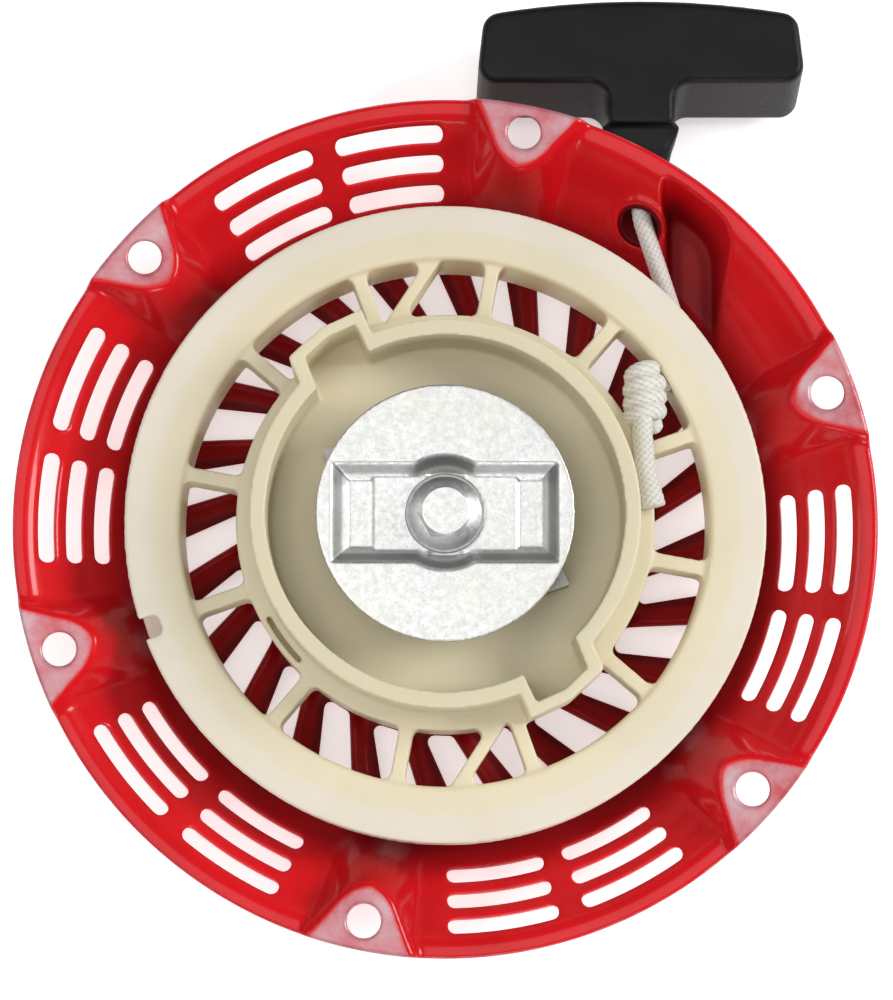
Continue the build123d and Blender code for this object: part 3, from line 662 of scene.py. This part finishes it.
def outlet_scoop():
    """The pressed lip under the rope hole, which carries the rope outwards."""
    around, rows = 40, 12
    overlap, sunk, shortest, longest, droop, wall_t = 0.2, 0.4, 1.2, 6.6, 1.1, 0.9
    radial = np.array(OUTLET_RADIAL)
    across = np.array((-OUTLET_RADIAL.y, OUTLET_RADIAL.x))
    grid = []
    for turn in np.linspace(0, 2 * pi, around, endpoint=False):
        edge = np.array(OUTLET) + (OUTLET_R + overlap) * (
            CONE_SQUEEZE * cos(turn) * radial + sin(turn) * across)
        start_z = float(sheet_height(*(edge[:, None]))[0]) - sunk
        inner = 0.5 - 0.5 * cos(turn)
        length = shortest + longest * inner ** 0.7
        for t in np.linspace(0, 1, rows):
            out = edge + radial * length * t
            grid.append((*out, start_z - droop * (1 - (1 - t) ** 2)))
    faces = []
    for i in range(around):
        here, there = i * rows, (i + 1) % around * rows
        faces += [(here + j, here + j + 1, there + j + 1, there + j) for j in range(rows - 1)]
    made = piece("outlet_scoop", grid, faces, "case", RED)
    # The whole scoop gets full painted shade, so the rope hole looks dark.
    store(made, "painted_shade", np.full(len(grid), 1.4))
    wall = made.modifiers.new("wall", "SOLIDIFY")
    wall.thickness = wall_t * MM
    wall.offset = -1


pressed_case()
outlet_scoop()


# ---------------------------------------------------------------- moulded and pressed parts
def softened(source, name, voxel, rounds, share, material):
    """A smooth copy of a CAD node, whose sharp edges are worn to moulded ones."""
    body = frame["nodes"][source]["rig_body"]
    copy = bpy.data.objects.new("work", frame["nodes"][source].data.copy())
    bpy.context.scene.collection.objects.link(copy)
    remesh = copy.modifiers.new("remesh", "REMESH")
    remesh.mode = "VOXEL"
    remesh.voxel_size = voxel * MM
    relax = copy.modifiers.new("relax", "SMOOTH")
    relax.factor = 0.5
    relax.iterations = rounds
    thin = copy.modifiers.new("thin", "DECIMATE")
    thin.ratio = share
    worked = copy.evaluated_get(bpy.context.evaluated_depsgraph_get())
    mesh = bpy.data.meshes.new_from_object(worked)
    bpy.data.objects.remove(copy)
    mesh.shade_smooth()
    made = finished(bpy.data.objects.new(name, mesh), body, material)
    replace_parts(made, source)


softened("reel", "reel_moulding", 0.4, 4, 0.25, NYLON)
softened("ratchet_guide", "guide_pressing", 0.3, 9, 0.5, ZINC)
softened("handle_grip", "grip_moulding", 0.5, 5, 0.5, BLACK)


# ---------------------------------------------------------------- rope
def braid(name, route, radii, around, body, closed=False):
    """A braided cord along closely spaced points: eight strands each way, over and under."""
    route = np.asarray(route, float)
    count = len(route)
    radii = np.broadcast_to(radii, (count,))
    ahead = np.roll(route, -1, 0) - np.roll(route, 1, 0)
    if not closed:
        ahead[0], ahead[-1] = route[1] - route[0], route[-1] - route[-2]
    ahead /= np.linalg.norm(ahead, axis=1)[:, None]
    side = np.cross(ahead[0], (0.0, 0.0, 1.0))
    if np.linalg.norm(side) < 0.1:
        side = np.cross(ahead[0], (1.0, 0.0, 0.0))
    travelled = np.concatenate(([0], np.cumsum(np.linalg.norm(np.diff(route, axis=0), axis=1))))
    turns = 2 * pi * np.arange(around) / around
    strands, lay = 8, 11.0
    core, relief, fullness = 0.88, 0.13, 0.8
    vertices, heights = [], []
    for i in range(count):
        side = side - ahead[i] * (side @ ahead[i])
        side /= np.linalg.norm(side)
        up = np.cross(ahead[i], side)
        a = strands * (turns / (2 * pi) + travelled[i] / lay)
        b = strands * (-turns / (2 * pi) + travelled[i] / lay)
        over = 0.55 + 0.45 * np.sin(pi * (b + np.floor(a)))
        under = 0.55 - 0.45 * np.sin(pi * (a + np.floor(b)))
        height = np.maximum(np.abs(np.sin(pi * a)) ** fullness * over,
                            np.abs(np.sin(pi * b)) ** fullness * under)
        reach = radii[i] * (core + relief * height)
        vertices.append(route[i] + np.outer(reach * np.cos(turns), side)
                        + np.outer(reach * np.sin(turns), up))
        heights.append(height)
    faces = []
    for i in range(count if closed else count - 1):
        here, there = i * around, (i + 1) % count * around
        faces += [(here + j, here + (j + 1) % around, there + (j + 1) % around, there + j)
                  for j in range(around)]
    vertices = np.concatenate(vertices)
    heights = np.concatenate(heights)
    if not closed:
        end_height = 0.6
        vertices = np.concatenate((vertices, route[[0, -1]]))
        heights = np.concatenate((heights, (end_height, end_height)))
        first, last = count * around, count * around + 1
        faces += [(first, (j + 1) % around, j) for j in range(around)]
        base = (count - 1) * around
        faces += [(last, base + j, base + (j + 1) % around) for j in range(around)]
    made = piece(name, vertices, faces, body, ROPE)
    store(made, "strand", heights)
    return made


def arc_route(radius, start, end, z, step):
    """Points along an arc about the spin axis."""
    count = max(2, ceil(radians(abs(end - start)) * radius / step))
    return [(*polar(radius, a), z) for a in np.linspace(start, end, count)]


for index, level in enumerate(TURN_Z):
    circle = arc_route(TURN_R, 0, 360, level, 0.45)[:-1]
    turn = braid(f"rope_turn_{index + 1}", circle, ROPE_R, 20, "reel", closed=True)
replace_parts(turn, "rope_windings")

bend_angle = degrees(atan2(BEND_POINT[1], BEND_POINT[0]))
leave = bend_angle - degrees(np.arccos(TURN_R / hypot(*BEND_POINT[:2])))
last_turn = arc_route(TURN_R, leave - LEAD_ARC, leave, ROPE_Z, 0.3)
run_out = rounded([last_turn[-1], BEND_POINT, (GRIP_X, LEAD_END_Y, ROPE_Z)],
                  LEAD_BEND_R, ROUTE_STEP)
lead = braid("rope_run", np.concatenate((last_turn, run_out[1:])), ROPE_R, 30, "case")
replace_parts(lead, "rope_lead")

grip_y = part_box("rope_pull")[1].y / MM
rope_lap = 0.3
straight = [(GRIP_X, y, ROPE_Z) for y in np.arange(LEAD_END_Y - rope_lap, grip_y, ROUTE_STEP)]
pull = braid("rope_to_grip", straight, ROPE_R, 30, None)
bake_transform(pull)
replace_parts(pull, "rope_pull")


def stopper_knot():
    """Four tight wraps with a crossing turn over the top, in the window of the reel."""
    x, y, z = KNOT_PLACE
    wraps, first_turn, top, length, lean = 3.9, 0.6, 5.2, 11.2, 0.5
    t = np.linspace(0, 1, 220)
    turn = 2 * pi * wraps * t + first_turn
    middle_r, drawn_in = 2.75, 0.9
    wrap_r = middle_r - drawn_in * np.abs(2 * t - 1) ** 5
    route = np.column_stack((x + wrap_r * np.cos(turn), y + top - length * t + lean * np.sin(turn),
                             z + wrap_r * np.sin(turn)))
    wound = braid("knot_wraps", route, 1.95, 24, "reel")
    over = rounded([(x - 1.2, y - 3.0, z - 1.0), (x - 1.6, y + 5.0, z + 0.2),
                    (x + 1.4, y + 6.0, z + 0.6), (x + 1.2, y - 4.6, z - 0.6)], 2.2, ROUTE_STEP)
    braid("knot_crossing", over, 1.9, 24, "reel")
    stub_end = tuple(Vector((*polar(KNOT_HOLE_R, KNOT_HOLE_ANGLE), KNOT_HOLE_Z)))
    stub = rounded([(x, y + 2.0, z - 0.5), (x + 2.2, y + 1.4, -4.4), stub_end], 2.5, ROUTE_STEP)
    braid("knot_stub", stub, 1.8, 24, "reel")
    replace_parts(wound, "rope_knot")


stopper_knot()

tail_route = rounded(TAIL_POINTS, TAIL_BEND_R, ROUTE_STEP)
flare = 2.2 + 0.4 * step_up(0.72, 1.0, np.linspace(0, 1, len(tail_route)))
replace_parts(braid("rope_tail_braid", tail_route, flare, 30, "reel"), "rope_tail")

coil_r, coil_rise, coil_end = 2.6, 1.15, 13.5
coil = [(GRIP_X + coil_r * cos(t), GRIP_KNOT_Y + coil_rise * t / 2, ROPE_Z + coil_r * sin(t))
        for t in np.linspace(0, coil_end, 150)]
grip_knot = braid("grip_knot_wraps", coil, 1.9, 22, "grip")
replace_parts(grip_knot, "handle_knot")


# ---------------------------------------------------------------- CAD nodes that show as they are
shown_as_made = (
    (ZINC, ("bolt_washer", "centre_bolt", "handle_washer")),
    (PAWL_STEEL, ("centre_post", "pawl_a", "pawl_b")),
    (SPRING_STEEL, ("rewind_spring", "pawl_spring_a", "pawl_spring_b", "friction_spring")),
    (BLACK, ("handle_cap",)),
)
for material, names in shown_as_made:
    for name in names:
        frame["nodes"][name].data.materials.clear()
        frame["nodes"][name].data.materials.append(material)


# ---------------------------------------------------------------- floor, lights and camera
def floor():
    """A pale plain sheet for the part to lie on."""
    mesh = bpy.data.meshes.new("floor")
    half, gap = 3.0, 0.0002
    level = cad_low.z - gap
    square = ((-half, -half), (half, -half), (half, half), (-half, half))
    corners = [(x, y, level) for x, y in square]
    mesh.from_pydata(corners, [], [(0, 1, 2, 3)])
    sheet = bpy.data.objects.new("floor", mesh)
    bpy.context.scene.collection.objects.link(sheet)
    paper = shader("paper", Roughness=0.9, Emission_Color=(1, 1, 1, 1), Emission_Strength=0.5)
    whites = [(0.3, (0.95, 0.95, 0.95)), (0.7, (0.97, 0.97, 0.97))]
    into(paper, "Base Color", ramp(paper, noise(paper, 6, 3), whites))
    mesh.materials.append(paper)


def soft_light(name, place_at, size, power):
    """A square softbox that faces the part."""
    lamp = bpy.data.lights.new(name, "AREA")
    lamp.size = size
    lamp.energy = power
    made = bpy.data.objects.new(name, lamp)
    made.location = place_at
    made.rotation_euler = (-Vector(place_at)).to_track_quat("-Z", "Y").to_euler()
    bpy.context.scene.collection.objects.link(made)


floor()
soft_light("overhead", (-0.4, -0.1, 1.5), 1.7, 15.0)
soft_light("key", (1.86, 0.44, 1.3), 0.9, 34.0)
soft_light("fill", (-0.9, 0.25, 0.6), 0.3, 0.8)
soft_light("front", (0.1, -1.1, 0.35), 0.35, 2.6)
world = bpy.data.worlds.new("studio")
world.use_nodes = True
background = world.node_tree.nodes["Background"]
background.inputs["Color"].default_value = (1, 1, 1, 1)
background.inputs["Strength"].default_value = 0.09
bpy.context.scene.world = world
bpy.context.scene.view_settings.view_transform = "Standard"

CAMERA_TILT = radians(7.5)
CAMERA_DISTANCE = 0.65
FRAME_HEIGHT = 0.2074
SENSOR = 36
AIM = Vector((0.00025, 0.0042, 0))
lens = bpy.data.cameras.new("camera")
lens.sensor_width = SENSOR
lens.lens = SENSOR * CAMERA_DISTANCE / FRAME_HEIGHT
camera = bpy.data.objects.new("camera", lens)
camera.location = AIM + CAMERA_DISTANCE * Vector((0, -sin(CAMERA_TILT), cos(CAMERA_TILT)))
camera.rotation_euler = (CAMERA_TILT, 0, 0)
bpy.context.scene.collection.objects.link(camera)
bpy.context.scene.camera = camera
